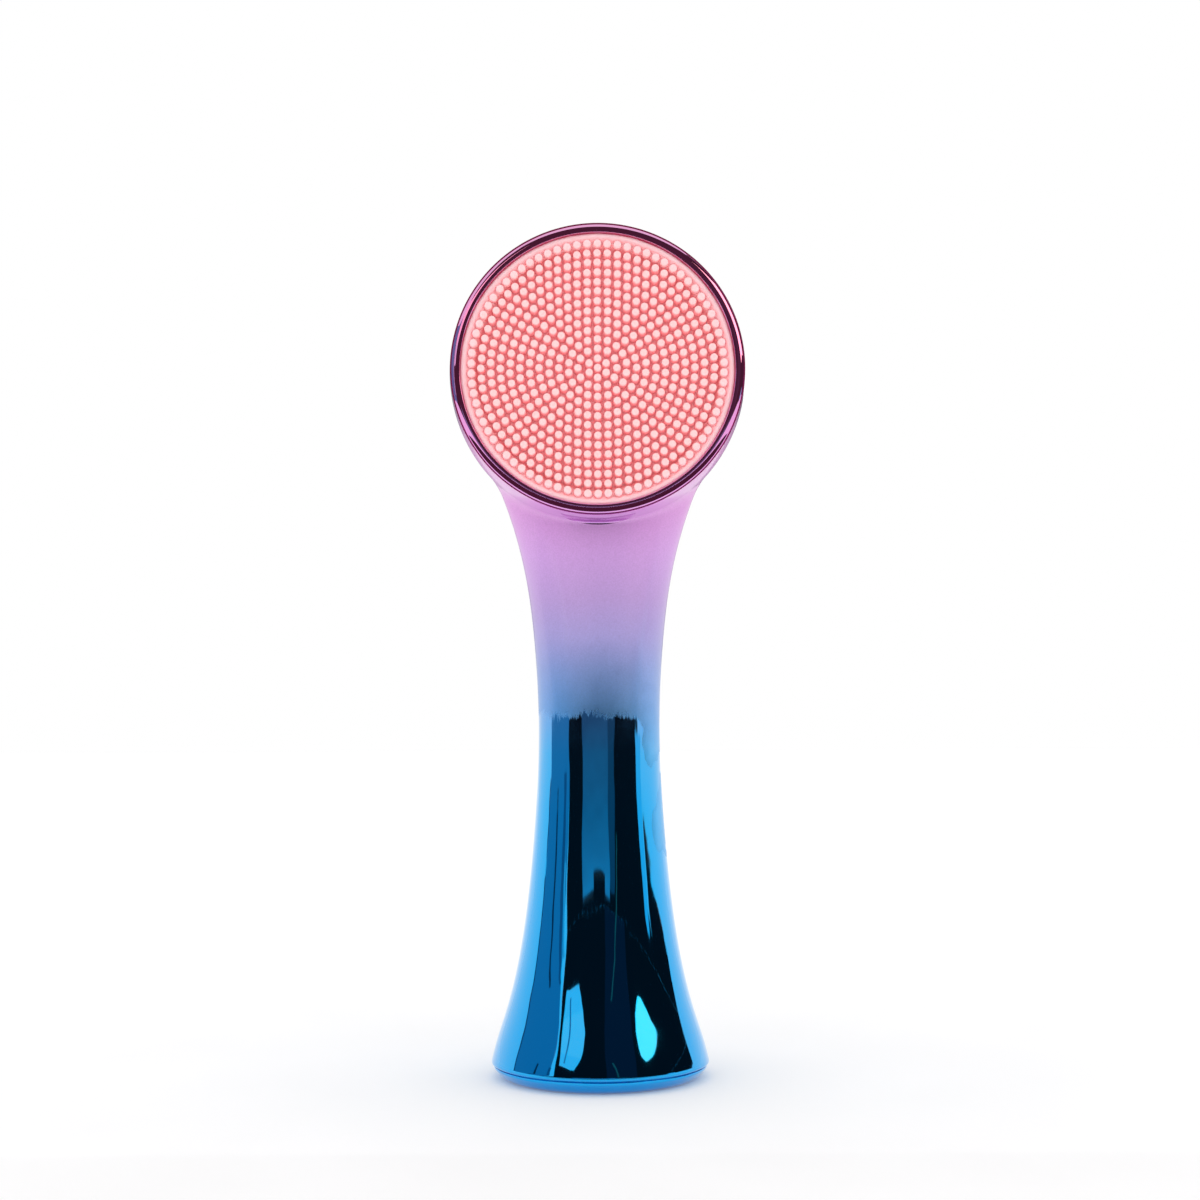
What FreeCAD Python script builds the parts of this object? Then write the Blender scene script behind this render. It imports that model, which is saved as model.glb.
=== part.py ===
import FreeCAD, Part
import math
import os

import Sketcher
from FreeCAD import Placement, Rotation, Vector

# Double-sided facial cleansing brush: a plated one-piece shell whose flared handle stands on its base, with
# a silicone pad on the front of the head and soft fibres under a clear dust cover on the back.
#
# The origin is the centre of the face it stands on, +Z is up the handle, and -Y is the silicone side.
# Pieces of the head are drawn about their own Z axis, and their placements turn that axis onto the head's.

doc = FreeCAD.newDocument("cleansing_brush")

# ---------------------------------------------------------------- driving dimensions, millimetres

DIMENSIONS = {
    # handle outline: height, half width and half thickness of each cross-section
    "foot_z": 2.5, "foot_half": 19.68,
    "ankle_z": 5.8, "ankle_half": 18.98,
    "calf_z": 11.5, "calf_half": 17.15,
    "shin_z": 24.2, "shin_half": 14.2,
    "grip_z": 42.3, "grip_half": 12.05,
    "waist_z": 62.5, "waist_half": 11.1,
    "collar_z": 79.0, "collar_half": 11.87, "collar_deep": 10.7,
    "throat_z": 90.1, "throat_half": 13.33, "throat_deep": 9.8,
    "yoke_z": 99.4, "yoke_half": 15.6, "yoke_deep": 9.1,
    "crotch_z": 108.7, "crotch_half": 19.0, "crotch_deep": 8.7,
    "crown_z": 114.5, "crown_half": 21.6, "crown_deep": 8.5,
    "heel_edge": 0.12,
    # moulding
    "wall": 2.2, "fit_gap": 0.05,
    "bore_foot": 17.5, "bore_top_z": 89.0, "bore_top": 6.8,
    # head drum, a barrel that narrows to the back
    "head_z": 126.6, "head_front": 16.0, "head_back": 12.5,
    "front_radius": 26.2, "middle_radius": 26.5, "back_radius": 23.6,
    "lip_rounding": 1.4, "lip_edge": 0.3, "neck_blend": 1.0,
    "front_opening": 24.5, "front_depth": 7.0, "web": 2.2,
    "back_opening": 21.9, "back_depth": 8.0, "drum_bore": 20.4,
    # base cap, closed by a land that meets the shell inside a shadow line
    "cap_radius": 19.3, "cap_rim_z": 2.3, "cap_top_z": 2.5,
    "cap_flat": 16.2, "cap_bow": 18.02, "cap_bow_z": 0.51, "cap_side_z": 1.9,
    "land_radius": 18.9, "skirt_top_z": 7.2, "skirt_wall": 1.3,
    "bead_z": 5.2, "bead_half": 0.5, "bead_height": 0.3,
    "foot_ring": 15.0, "foot_disc": 12.0, "foot_relief": 0.5,
    # counterweight
    "slug_radius": 15.4, "slug_thick": 5.2, "slug_edge": 0.6,
    # screws, their bosses and their cross recess
    "boss_radius": 2.4, "boss_clearance": 0.15, "weight_circle": 9.0, "carrier_circle": 14.0,
    "pilot_radius": 1.15, "pilot_depth": 4.6,
    "screw_radius": 1.1, "screw_length": 4.2, "screw_head": 3.2, "screw_head_high": 1.5,
    "screw_point": 0.4, "screw_dome": 0.75,
    "cross_width": 0.7, "cross_length": 3.4, "cross_depth": 0.9,
    # silicone pad and the plate that it wraps
    "pad_sink": 1.5, "pad_bead": 1.2, "bead_width": 0.9, "bead_edge": 0.35, "pad_thick": 1.5,
    "pad_skirt": 1.5, "pad_skirt_wall": 1.2,
    "nub_pitch": 1.73, "nub_rings": 13, "nub_root": 0.74, "nub_tip": 0.66, "nub_height": 2.7,
    "nub_rounding": 0.33, "nub_sunk": 0.5,
    # tuft block, its anchors, its ring and the fibres
    "block_radius": 21.8, "block_thick": 7.0, "block_step": 19.6, "block_step_thick": 5.0,
    "tuft_pitch": 2.85, "tuft_rings": 6, "tuft_hole": 0.95, "tuft_depth": 4.3,
    "anchor_wide": 1.7, "anchor_high": 1.4, "anchor_thick": 0.25,
    "flange_radius": 23.0, "flange_thick": 1.4, "spigot_radius": 20.9, "spigot_long": 3.6, "ring_edge": 0.4,
    "fibre_long": 15.5, "fibre_root": 18.3, "fibre_tip": 19.3, "fibre_shoulder": 2.2, "fibre_bow": 0.62,
    "fibre_dome": 0.8,
    # dust cover
    "cover_wall": 1.1, "cover_gap": 0.25, "cover_long": 18.6, "cover_rounding": 3.0,
    "cover_lip": 0.75, "cover_lip_thick": 1.3, "vent_radius": 1.0, "vent_circle": 8.0, "vent_count": 6,
}

SCREWS_IN_A_SET = 3

sheet = doc.addObject("Spreadsheet::Sheet", "Dims")
for row, (alias, value) in enumerate(DIMENSIONS.items(), start=1):
    sheet.set(f"A{row}", alias)
    sheet.set(f"B{row}", str(value))
    sheet.setAlias(f"B{row}", alias)
doc.recompute()


def formula(text):
    """The sheet's aliases in text, written as FreeCAD expressions read them."""
    words = text.replace("(", " ( ").replace(")", " ) ").split()
    return " ".join(f"Dims.{word}" if word in DIMENSIONS else word for word in words)


def size(text):
    """The number that a formula of the sheet's aliases gives."""
    return float(sheet.evalExpression(formula(text)))


def bind(thing, **properties):
    """Binds each property of an object to a formula; a double underscore stands for a dot."""
    for name, text in properties.items():
        thing.setExpression(name.replace("__", "."), formula(text))
    return thing


# ---------------------------------------------------------------- ways of making a piece


def origin_plane(body, role):
    """A body's own origin plane or axis, by its role."""
    return next(item for item in body.Origin.OriginFeatures if item.Role == role)


def pin_point(sketch, element, end, across, up):
    """Fixes one end of a sketch line at two formulas, or on an axis where a formula is 0."""
    for kind, text, axis in (("DistanceX", across, -2), ("DistanceY", up, -1)):
        if text == "0":
            sketch.addConstraint(Sketcher.Constraint("PointOnObject", element, end, axis))
        else:
            number = sketch.addConstraint(Sketcher.Constraint(kind, -1, 1, element, end, size(text)))
            sketch.setExpression(f"Constraints[{number}]", formula(text))


def bulge(sketch, start, end, middle):
    """Adds the arc from one point to another through a middle point, given as a pair of formulas."""
    through = Vector(size(middle[0]), size(middle[1]), 0)
    arc = sketch.addGeometry(Part.Arc(start, through, end), False)
    point = sketch.addGeometry(Part.Point(through), True)
    sketch.addConstraint(Sketcher.Constraint("PointOnObject", point, 1, arc))
    pin_point(sketch, point, 1, *middle)
    return arc


def turned(name, outline, arcs=None):
    """A body made by turning a closed outline of (radius, height) formulas about its Z axis.

    The outline runs anticlockwise. Where arcs gives a middle point for a corner's number, the stretch
    from that corner to the next is an arc through it; the others are straight.
    """
    body = doc.addObject("PartDesign::Body", name)
    sketch = body.newObject("Sketcher::SketchObject", f"{name}_outline")
    sketch.AttachmentSupport = (origin_plane(body, "XZ_Plane"), [""])
    sketch.MapMode = "FlatFace"
    points = [Vector(size(across), size(up), 0) for across, up in outline]
    stretches = []
    for number, (start, end) in enumerate(zip(points, points[1:] + points[:1])):
        if arcs and number in arcs:
            stretches.append(bulge(sketch, start, end, arcs[number]))
        else:
            stretches.append(sketch.addGeometry(Part.LineSegment(start, end), False))
    for number, (across, up) in enumerate(outline):
        before, stretch = stretches[number - 1], stretches[number]
        sketch.addConstraint(Sketcher.Constraint("Coincident", before, 2, stretch, 1))
        pin_point(sketch, stretch, 1, across, up)
    turn = body.newObject("PartDesign::Revolution", f"{name}_turned")
    turn.Profile = sketch
    turn.ReferenceAxis = (sketch, ["V_Axis"])
    turn.Angle = 360
    doc.recompute()
    return body


def circle_sketch(body, name, height, radius, circle):
    """A circle on the body's +X side, at a height, ready to be padded or pocketed."""
    sketch = body.newObject("Sketcher::SketchObject", name)
    sketch.AttachmentSupport = (origin_plane(body, "XY_Plane"), [""])
    sketch.MapMode = "FlatFace"
    sketch.setExpression("AttachmentOffset.Base.z", formula(height))
    sketch.addGeometry(Part.Circle(Vector(size(circle), 0, 0), Vector(0, 0, 1), size(radius)), False)
    sketch.addConstraint(Sketcher.Constraint("PointOnObject", 0, 3, -1))
    pairs = (("DistanceX", circle, (-1, 1, 0, 3)), ("Radius", radius, (0,)))
    for kind, text, where in pairs:
        number = sketch.addConstraint(Sketcher.Constraint(kind, *where, size(text)))
        sketch.setExpression(f"Constraints[{number}]", formula(text))
    return sketch


def repeated(body, feature, count):
    """Repeats a feature evenly about the body's Z axis."""
    pattern = body.newObject("PartDesign::PolarPattern", f"{feature.Name}_set")
    pattern.Originals = [feature]
    pattern.Axis = (origin_plane(body, "Z_Axis"), [""])
    pattern.Angle = 360
    if isinstance(count, str):
        pattern.setExpression("Occurrences", formula(count))
    else:
        pattern.Occurrences = count
    body.Tip = pattern
    doc.recompute()
    return pattern


def bosses(body, name, height, long, radius, circle, count):
    """Round bosses that stand up from a height."""
    pad = body.newObject("PartDesign::Pad", name)
    pad.Profile = circle_sketch(body, f"{name}_circle", height, radius, circle)
    bind(pad, Length=long)
    doc.recompute()
    repeated(body, pad, count)


def holes(body, name, height, deep, radius, circle, count):
    """Round holes cut downwards from a height."""
    before = body.Shape.Volume
    pocket = body.newObject("PartDesign::Pocket", name)
    pocket.Profile = circle_sketch(body, f"{name}_circle", height, radius, circle)
    bind(pocket, Length=deep)
    doc.recompute()
    repeated(body, pocket, count)
    if body.Shape.Volume > before - 0.1:
        raise SystemExit(f"{name} cut nothing")


def round_edges(shape, radius, height, tolerance=0.02):
    """Names of the full circles about the Z axis that have that radius and height."""
    names = []
    for number, edge in enumerate(shape.Edges, start=1):
        curve = edge.Curve
        if not isinstance(curve, Part.Circle) or abs(curve.Radius - radius) > tolerance:
            continue
        centre = curve.Center
        if abs(centre.z - height) < tolerance and math.hypot(centre.x, centre.y) < tolerance:
            names.append(f"Edge{number}")
    if not names:
        raise SystemExit(f"no edge of radius {radius} at {height}")
    return names


def soften(body, kind, amount, *corners):
    """A Fillet or Chamfer of a formula's size on a turned body's round edges, each a (radius, height)."""
    feature = body.newObject(f"PartDesign::{kind}", f"{body.Name}_{kind.lower()}_{len(body.Group)}")
    names = []
    for across, up in corners:
        names += round_edges(body.Shape, size(across), size(up))
    feature.Base = (body.Tip, names) if body.Tip is not feature else (feature.BaseFeature, names)
    bind(feature, **{"Radius" if kind == "Fillet" else "Size": amount})
    body.Tip = feature
    doc.recompute()


def boolean(kind, name, base, tool):
    """A Part boolean of two objects of the document."""
    result = doc.addObject(f"Part::{kind}", name)
    if kind in ("MultiFuse", "MultiCommon"):
        result.Shapes = [base, tool]
    else:
        result.Base, result.Tool = base, tool
    doc.recompute()
    return result


def rounded(name, base, edges):
    """A Part fillet, where edges holds (edge number, radius) pairs."""
    result = doc.addObject("Part::Fillet", name)
    result.Base = base
    result.Edges = [(number, radius, radius) for number, radius in edges]
    doc.recompute()
    return result


def group(name, shapes):
    """Separate solids that share one node."""
    result = doc.addObject("Part::Feature", name)
    result.Shape = Part.makeCompound(shapes)
    return result


FACING_BACK = Rotation(Vector(1, 0, 0), -90)
FACING_FRONT = Rotation(Vector(1, 0, 0), 90)


def on_head(thing, facing, forward="0"):
    """Turns a piece drawn about Z onto the head's axis, forward of the handle's axis by a formula."""
    thing.Placement = Placement(Vector(0, 0, 0), facing)
    bind(thing, Placement__Base__z="head_z", Placement__Base__y=f"0 - ( {forward} )")
    doc.recompute()
    return thing


def ring_places(rings, pitch):
    """The centre, then 6 places on the first ring, 12 on the second and so on, a pitch apart."""
    places = [Vector(0, 0, 0)]
    for ring in range(1, rings + 1):
        for step in range(6 * ring):
            turn = 2 * math.pi * (step / (6 * ring) + 0.25)
            places.append(Vector(ring * pitch * math.cos(turn), ring * pitch * math.sin(turn), 0))
    return places


# ---------------------------------------------------------------- shell


ROUND_SECTIONS = ("foot", "ankle", "calf", "shin", "grip", "waist")
FLAT_SECTIONS = ("collar", "throat", "yoke", "crotch", "crown")


def handle_solid():
    """The handle's outside, lofted through its cross-sections from the foot into the head."""
    sections = []
    for name in ROUND_SECTIONS + FLAT_SECTIONS:
        flat = name in FLAT_SECTIONS
        section = doc.addObject("Part::Ellipse", f"{name}_section")
        bind(
            section,
            MajorRadius=f"{name}_half",
            MinorRadius=f"{name}_deep" if flat else f"{name}_half",
            Placement__Base__z=f"{name}_z",
        )
        sections.append(section)
    loft = doc.addObject("Part::Loft", "handle_loft")
    loft.Sections = sections
    loft.Solid = True
    loft.Ruled = False
    doc.recompute()
    return loft


def bore_solid():
    """The hollow of the handle, open at the foot and drafted to a closed top below the head."""
    sections = [("foot_z - wall", "bore_foot"), ("skirt_top_z", "bore_foot")]
    sections += [(f"{name}_z", f"{name}_half - wall") for name in ("calf", "shin", "grip", "waist")]
    sections += [("bore_top_z", "bore_top")]
    circles = []
    for number, (height, radius) in enumerate(sections):
        circle = doc.addObject("Part::Circle", f"bore_section_{number}")
        bind(circle, Radius=radius, Placement__Base__z=height)
        circles.append(circle)
    loft = doc.addObject("Part::Loft", "handle_bore")
    loft.Sections = circles
    loft.Solid = True
    loft.Ruled = True
    doc.recompute()
    return loft


def drum_body():
    """The head: a barrel with a web across it, open to the front for the pad and behind for the block."""
    depth = "head_front + head_back"
    outline = [
        ("front_opening", "0"),
        ("front_radius", "0"),
        ("back_radius", depth),
        ("back_opening", depth),
        ("back_opening", f"{depth} - back_depth"),
        ("drum_bore", f"{depth} - back_depth"),
        ("drum_bore", "front_depth + web"),
        ("0", "front_depth + web"),
        ("0", "front_depth"),
        ("front_opening", "front_depth"),
    ]
    drum = turned("head_drum", outline, {1: ("middle_radius", f"( {depth} ) / 2")})
    soften(drum, "Fillet", "lip_rounding", ("front_radius", "0"))
    back_edges = (("back_opening", depth), ("back_radius", depth))
    soften(drum, "Fillet", "lip_edge", ("front_opening", "0"), *back_edges)
    hole = "boss_radius + boss_clearance"
    holes(drum, "web_holes", "front_depth + web", "web", hole, "carrier_circle", SCREWS_IN_A_SET)
    return on_head(drum, FACING_BACK, "head_front")


def foot_edges(shape):
    """The edge round the foot, as (edge number, radius) pairs."""
    foot = size("foot_z")
    flat = [number for number, edge in enumerate(shape.Edges, start=1) if edge.BoundBox.ZMax < foot + 0.01]
    return [(number, size("heel_edge")) for number in flat]


def neck_edges(shape):
    """The line where the neck runs into the drum, as (edge number, radius) pairs."""
    found = []
    for number, edge in enumerate(shape.Edges, start=1):
        box = edge.BoundBox
        middle = edge.valueAt((edge.FirstParameter + edge.LastParameter) / 2)
        from_axis = math.hypot(middle.x, middle.z - size("head_z"))
        on_drum = size("back_radius") < from_axis < size("middle_radius + web")
        between = box.YMin > -size("head_front - web") and box.YMax < size("head_back - lip_edge")
        if on_drum and between and box.ZMax < size("head_z - web"):
            found.append((number, size("neck_blend")))
    return found


def make_shell():
    """Handle and head in one moulding, with the groove that holds the base cap's bead."""
    solid = handle_solid()
    handle = rounded("handle_outside", solid, foot_edges(solid.Shape))
    core = doc.addObject("Part::Cylinder", "drum_core")
    bind(core, Radius="back_radius - lip_edge", Height="head_front + head_back")
    on_head(core, FACING_BACK, "head_front")
    neck = boolean("Cut", "neck_without_drum", handle, core)
    joined = boolean("MultiFuse", "shell_outside", neck, drum_body())
    blended = rounded("shell_blended", joined, neck_edges(joined.Shape))
    hollow = boolean("Cut", "shell_hollow", blended, bore_solid())
    below, above = "bead_z - bead_half", "bead_z + bead_half"
    groove = turned(
        "bead_groove",
        [
            ("bore_foot - wall", f"{below} - bead_height"),
            ("bore_foot", f"{below} - bead_height"),
            ("bore_foot + bead_height", below),
            ("bore_foot + bead_height", above),
            ("bore_foot", f"{above} + bead_height"),
            ("bore_foot - wall", f"{above} + bead_height"),
        ],
    )
    return boolean("Cut", "body_shell", hollow, groove)


# ---------------------------------------------------------------- base


def make_base_cap():
    """The plated cap under the foot: a grooved underside, a rounded edge, and a skirt with a snap bead."""
    skirt = "bore_foot - fit_gap"
    below, above = "bead_z - bead_half", "bead_z + bead_half"
    outline = [
        ("0", "0"),
        ("foot_disc", "0"),
        ("foot_disc", "foot_relief"),
        ("foot_ring", "foot_relief"),
        ("foot_ring", "0"),
        ("cap_flat", "0"),
        ("cap_radius", "cap_side_z"),
        ("cap_radius", "cap_rim_z"),
        ("land_radius", "cap_rim_z"),
        ("land_radius", "cap_top_z"),
        (skirt, "cap_top_z"),
        (skirt, f"{below} - bead_height"),
        (f"{skirt} + bead_height", below),
        (f"{skirt} + bead_height", above),
        (skirt, f"{above} + bead_height"),
        (skirt, "skirt_top_z"),
        (f"{skirt} - skirt_wall", "skirt_top_z"),
        (f"{skirt} - skirt_wall", "cap_top_z"),
        ("0", "cap_top_z"),
    ]
    cap = turned("base_cap", outline, {5: ("cap_bow", "cap_bow_z")})
    soften(cap, "Fillet", "lip_edge", ("foot_disc", "0"), ("foot_ring", "0"))
    bosses(cap, "weight_bosses", "cap_top_z", "slug_thick", "boss_radius", "weight_circle", SCREWS_IN_A_SET)
    top = "cap_top_z + slug_thick"
    holes(cap, "weight_pilots", top, "pilot_depth", "pilot_radius", "weight_circle", SCREWS_IN_A_SET)
    return cap


def make_counterweight():
    """A steel disc on the base cap, pierced for the cap's bosses, that keeps the brush upright."""
    outline = [("0", "0"), ("slug_radius", "0"), ("slug_radius", "slug_thick"), ("0", "slug_thick")]
    slug = turned("counterweight", outline)
    soften(slug, "Chamfer", "slug_edge", ("slug_radius", "0"), ("slug_radius", "slug_thick"))
    hole = "boss_radius + boss_clearance"
    holes(slug, "boss_holes", "slug_thick", "slug_thick", hole, "weight_circle", SCREWS_IN_A_SET)
    return bind(slug, Placement__Base__z="cap_top_z")


# ---------------------------------------------------------------- screws


def cross_bar(screw, name, along, across):
    """One bar of the cross recess, cut down from the top of the head."""
    sketch = screw.newObject("Sketcher::SketchObject", f"{name}_outline")
    sketch.AttachmentSupport = (origin_plane(screw, "XY_Plane"), [""])
    sketch.MapMode = "FlatFace"
    sketch.setExpression("AttachmentOffset.Base.z", formula("screw_head_high"))
    half = Vector(size(along) / 2, size(across) / 2, 0)
    signs = ((-1, -1), (1, -1), (1, 1), (-1, 1))
    corners = [Vector(x_sign * half.x, y_sign * half.y, 0) for x_sign, y_sign in signs]
    for start, end in zip(corners, corners[1:] + corners[:1]):
        sketch.addGeometry(Part.LineSegment(start, end), False)
    for number in range(4):
        sketch.addConstraint(Sketcher.Constraint("Coincident", number, 2, (number + 1) % 4, 1))
        pin_point(sketch, number, 1, *corner_formulas(number, along, across))
    pocket = screw.newObject("PartDesign::Pocket", name)
    pocket.Profile = sketch
    bind(pocket, Length="cross_depth")
    doc.recompute()


def corner_formulas(number, along, across):
    """The formulas of a centred rectangle's corner."""
    x_sign = "" if number in (1, 2) else "0 - "
    y_sign = "" if number in (2, 3) else "0 - "
    return f"{x_sign}{along} / 2", f"{y_sign}{across} / 2"


def make_screw():
    """A pan-head self-tapping screw, its head on the Z = 0 plane and its shank below it."""
    outline = [
        ("0", "0 - screw_length"),
        ("screw_point", "0 - screw_length"),
        ("screw_radius", "screw_radius - screw_length"),
        ("screw_radius", "0"),
        ("screw_head", "0"),
        ("screw_head", "screw_head_high"),
        ("0", "screw_head_high"),
    ]
    screw = turned("screw", outline)
    soften(screw, "Fillet", "screw_dome", ("screw_head", "screw_head_high"))
    cross_bar(screw, "cross_one_way", "cross_length", "cross_width")
    cross_bar(screw, "cross_other_way", "cross_width", "cross_length")
    return screw


def screw_set(name, screw, circle):
    """A set of screws spaced evenly about the Z axis."""
    start = screw.Shape.translated(Vector(size(circle), 0, 0))
    turn = 360 / SCREWS_IN_A_SET
    upwards = Vector(0, 0, 1)
    return group(name, [start.rotated(Vector(), upwards, turn * step) for step in range(SCREWS_IN_A_SET)])


def make_weight_screws(screw):
    """The screws that hold the counterweight down on the base cap's bosses."""
    screws = screw_set("weight_screws", screw, "weight_circle")
    return bind(screws, Placement__Base__z="cap_top_z + slug_thick")


def make_carrier_screws(screw):
    """The screws that pull the pad's carrier against the web, driven in from the back of the head."""
    screws = screw_set("carrier_screws", screw, "carrier_circle")
    return on_head(screws, FACING_BACK, "head_front - front_depth - web")


# ---------------------------------------------------------------- silicone side

CARRIER_THICK = "front_depth - pad_sink - pad_bead - pad_thick"


def make_pad_carrier():
    """The hard plate behind the silicone, with a narrower top that the pad's skirt wraps."""
    edge = "front_opening - fit_gap"
    outline = [
        ("0", "0"),
        (edge, "0"),
        (edge, f"{CARRIER_THICK} - pad_skirt"),
        (f"{edge} - pad_skirt_wall", f"{CARRIER_THICK} - pad_skirt"),
        (f"{edge} - pad_skirt_wall", CARRIER_THICK),
        ("0", CARRIER_THICK),
    ]
    carrier = turned("pad_carrier", outline)
    bosses(carrier, "carrier_bosses", "0 - web", "web", "boss_radius", "carrier_circle", SCREWS_IN_A_SET)
    floor = "pilot_depth - web"
    pilots = ("pilot_depth", "pilot_radius", "carrier_circle")
    holes(carrier, "carrier_pilots", floor, *pilots, SCREWS_IN_A_SET)
    return on_head(carrier, FACING_FRONT, "head_front - front_depth")


def make_silicone_pad():
    """The pad: a disc with a skirt, a raised rounded border, and rings of tapered nubs moulded on it."""
    edge = "front_opening - fit_gap"
    border = f"{edge} - bead_width"
    outline = [
        ("0", "0"),
        (f"{edge} - pad_skirt_wall", "0"),
        (f"{edge} - pad_skirt_wall", "0 - pad_skirt"),
        (edge, "0 - pad_skirt"),
        (edge, "pad_thick + pad_bead"),
        (border, "pad_thick + pad_bead"),
        (border, "pad_thick"),
        ("0", "pad_thick"),
    ]
    disc = turned("pad_disc", outline)
    bead = "pad_thick + pad_bead"
    soften(disc, "Fillet", "bead_edge", (edge, bead), (border, bead))
    root, tip, sunk = size("nub_root"), size("nub_tip"), size("nub_sunk")
    floor, height = size("pad_thick"), size("nub_height")
    nub = Part.makeCone(root, tip, height + sunk, Vector(0, 0, floor - sunk))
    tip_edges = [nub.getElement(name) for name in round_edges(nub, tip, floor + height)]
    nub = nub.makeFillet(size("nub_rounding"), tip_edges)
    nubs = [nub.translated(place) for place in ring_places(int(size("nub_rings")), size("nub_pitch"))]
    pad = doc.addObject("Part::Feature", "silicone_pad")
    pad.Shape = disc.Shape.multiFuse(nubs)
    return on_head(pad, FACING_FRONT, f"head_front - front_depth + {CARRIER_THICK}")


# ---------------------------------------------------------------- fibre side

BLOCK_SEAT = "back_depth - head_back"


def tuft_places():
    """Where the tufts stand on the block."""
    return ring_places(int(size("tuft_rings")), size("tuft_pitch"))


def make_brush_block():
    """The block that holds the fibres: a disc with a step for its ring and a blind hole for each tuft."""
    top = "block_thick"
    outline = [
        ("0", "0"),
        ("block_radius", "0"),
        ("block_radius", "block_step_thick"),
        ("block_step", "block_step_thick"),
        ("block_step", top),
        ("0", top),
    ]
    disc = turned("block_disc", outline)
    soften(disc, "Fillet", "lip_edge", ("block_step", top))
    radius, deep = size("tuft_hole"), size("tuft_depth")
    start = Vector(0, 0, size("block_thick - tuft_depth"))
    drills = [Part.makeCylinder(radius, deep, place + start) for place in tuft_places()]
    block = doc.addObject("Part::Feature", "brush_block")
    block.Shape = disc.Shape.cut(Part.makeCompound(drills))
    return on_head(block, FACING_BACK, BLOCK_SEAT)


def make_tuft_anchors():
    """The flat wire staple at the bottom of each tuft hole, each turned to face the middle."""
    wide, thick, high = size("anchor_wide"), size("anchor_thick"), size("anchor_high")
    staples = []
    for place in tuft_places():
        corner = Vector(-wide / 2, -thick / 2, size("block_thick - tuft_depth"))
        staple = Part.makeBox(wide, thick, high, corner)
        facing = math.degrees(math.atan2(place.y, place.x))
        staples.append(staple.rotated(Vector(), Vector(0, 0, 1), facing).translated(place))
    return on_head(group("tuft_anchors", staples), FACING_BACK, BLOCK_SEAT)


def make_brush_ring():
    """The trim ring that clamps the block into the head and carries the spigot for the dust cover."""
    seat = "block_step_thick"
    rim = "back_depth"
    inside = "block_step + fit_gap"
    outline = [
        (inside, seat),
        ("back_opening - fit_gap", seat),
        ("back_opening - fit_gap", rim),
        ("flange_radius", rim),
        ("flange_radius", f"{rim} + flange_thick"),
        ("spigot_radius", f"{rim} + flange_thick"),
        ("spigot_radius", f"{rim} + spigot_long"),
        (inside, f"{rim} + spigot_long"),
    ]
    ring = turned("brush_ring", outline)
    soften(ring, "Fillet", "ring_edge", ("flange_radius", f"{rim} + flange_thick"))
    end = f"{rim} + spigot_long"
    soften(ring, "Fillet", "ring_edge", ("spigot_radius", end), (inside, end))
    return on_head(ring, FACING_BACK, BLOCK_SEAT)


def make_fibre_bristles():
    """The fibres as one soft mass, a little wider at the tips, with a rounded shoulder and a domed end."""
    start, end = "block_thick + fit_gap", "block_thick + fibre_long"
    outline = [
        ("0", start),
        ("fibre_root", start),
        ("fibre_tip", f"{end} - fibre_shoulder"),
        ("fibre_tip - fibre_shoulder", f"{end}"),
        ("0", f"{end} + fibre_dome"),
    ]
    shoulder = ("fibre_tip - fibre_bow", f"{end} - fibre_bow")
    mass = turned("fibre_bristles", outline, {2: shoulder})
    return on_head(mass, FACING_BACK, BLOCK_SEAT)


# ---------------------------------------------------------------- dust cover


def make_dust_cover():
    """The clear cup over the fibres: a grip lip at its mouth, a rounded end, and vent holes in the end."""
    inner, outer = "spigot_radius + cover_gap", "spigot_radius + cover_gap + cover_wall"
    inner_end = "cover_long - cover_wall"
    outline = [
        (inner, "0"),
        (f"{outer} + cover_lip", "0"),
        (f"{outer} + cover_lip", "cover_lip_thick"),
        (outer, "cover_lip_thick"),
        (outer, "cover_long"),
        ("0", "cover_long"),
        ("0", inner_end),
        (inner, inner_end),
    ]
    cover = turned("dust_cover", outline)
    soften(cover, "Fillet", "cover_rounding", (outer, "cover_long"))
    soften(cover, "Fillet", "cover_rounding - cover_wall", (inner, inner_end))
    lip = f"{outer} + cover_lip"
    soften(cover, "Fillet", "lip_edge", (lip, "0"), (lip, "cover_lip_thick"))
    holes(cover, "vents", "cover_long", "cover_wall", "vent_radius", "vent_circle", "vent_count")
    return on_head(cover, FACING_BACK, "0 - head_back - flange_thick - fit_gap")


# ---------------------------------------------------------------- the whole brush


def check_everything():
    """Stops if any object of the document failed."""
    for thing in doc.Objects:
        if "Invalid" in thing.State or "Error" in thing.State:
            raise SystemExit(f"{thing.Name} failed: {thing.State}")


def write_pieces(pieces):
    """Labels, checks and writes each piece to a file of its own."""
    os.makedirs("parts", exist_ok=True)
    for piece in pieces:
        shape = piece.Shape
        if shape.isNull() or not shape.isValid() or not shape.Solids:
            raise SystemExit(f"{piece.Name} has no valid solid")
        piece.Label = piece.Name
        shape.exportStep(f"parts/{piece.Label}.step")
        print(f"{piece.Label}: {len(shape.Solids)} solids, {shape.Volume / 1000:.2f} cm3")


screw = make_screw()
pieces = [
    make_shell(),
    make_base_cap(),
    make_counterweight(),
    make_weight_screws(screw),
    make_pad_carrier(),
    make_carrier_screws(screw),
    make_silicone_pad(),
    make_brush_block(),
    make_tuft_anchors(),
    make_brush_ring(),
    make_fibre_bristles(),
    make_dust_cover(),
]
doc.recompute()
check_everything()
write_pieces(pieces)
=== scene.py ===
import math

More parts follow.
